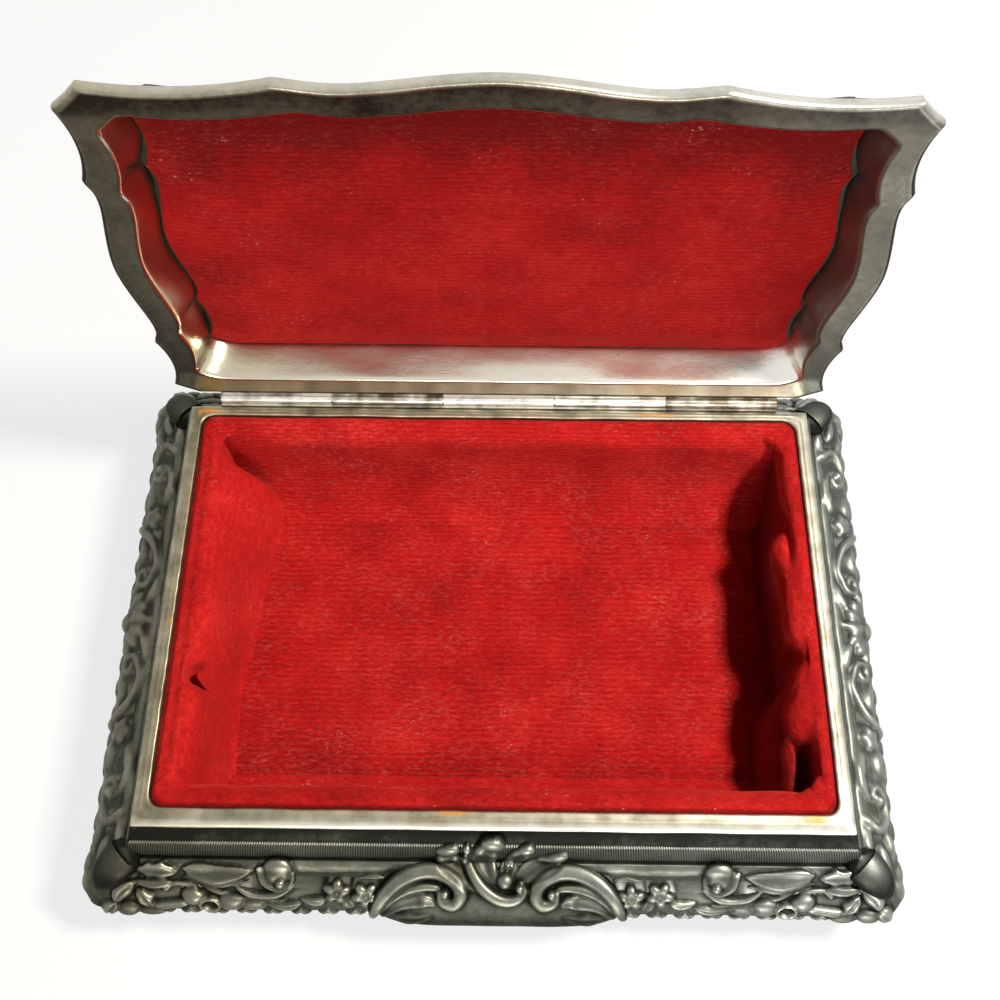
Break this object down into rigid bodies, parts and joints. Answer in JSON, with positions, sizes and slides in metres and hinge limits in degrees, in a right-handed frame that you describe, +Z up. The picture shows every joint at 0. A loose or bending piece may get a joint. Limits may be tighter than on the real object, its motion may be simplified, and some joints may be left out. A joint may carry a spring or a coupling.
{
  "type": "footed trinket box",
  "caption": "Low footed trinket box of cast metal with scroll relief, a scalloped hinged lid shown open, and a red velvet lining.",
  "frame": {"origin": "on the table, under the middle of the box's footprint", "axes": "+X along the front to the right, +Y from the front to the hinge, +Z up"},
  "size_m": [0.1416, 0.1046, 0.1129],
  "materials": {
    "cast_pewter": "cast, silvered and darkened with age, rubbed bright on the high spots",
    "hinge_steel": "drawn strip, lightly tarnished",
    "sheet_bottom": "rolled sheet, dull",
    "liner_card": "plain board, matt",
    "red_velvet": "short cotton velvet pile in fine rows"
  },
  "bodies": {
    "body": {"body_casting": "cast_pewter", "base_plate": "sheet_bottom", "foot_front_left": "cast_pewter", "foot_front_right": "cast_pewter", "foot_rear_left": "cast_pewter", "foot_rear_right": "cast_pewter", "hinge_leaf_body": "hinge_steel", "hinge_pin": "hinge_steel", "floor_card": "liner_card", "card_front": "liner_card", "card_rear": "liner_card", "card_left": "liner_card", "card_right": "liner_card", "velvet_floor": "red_velvet", "velvet_front": "red_velvet", "velvet_rear": "red_velvet", "velvet_left": "red_velvet", "velvet_right": "red_velvet"},
    "lid": {"lid_casting": "cast_pewter", "hinge_leaf_lid": "hinge_steel", "lid_card": "liner_card", "velvet_lid": "red_velvet"}
  },
  "joints": [
    {"name": "lid_hinge", "type": "hinge", "parent": "body", "child": "lid", "pos_m": [0, 0.04017, 0.03], "axis": [1, 0, 0], "range_deg": [0, 92]}
  ]
}
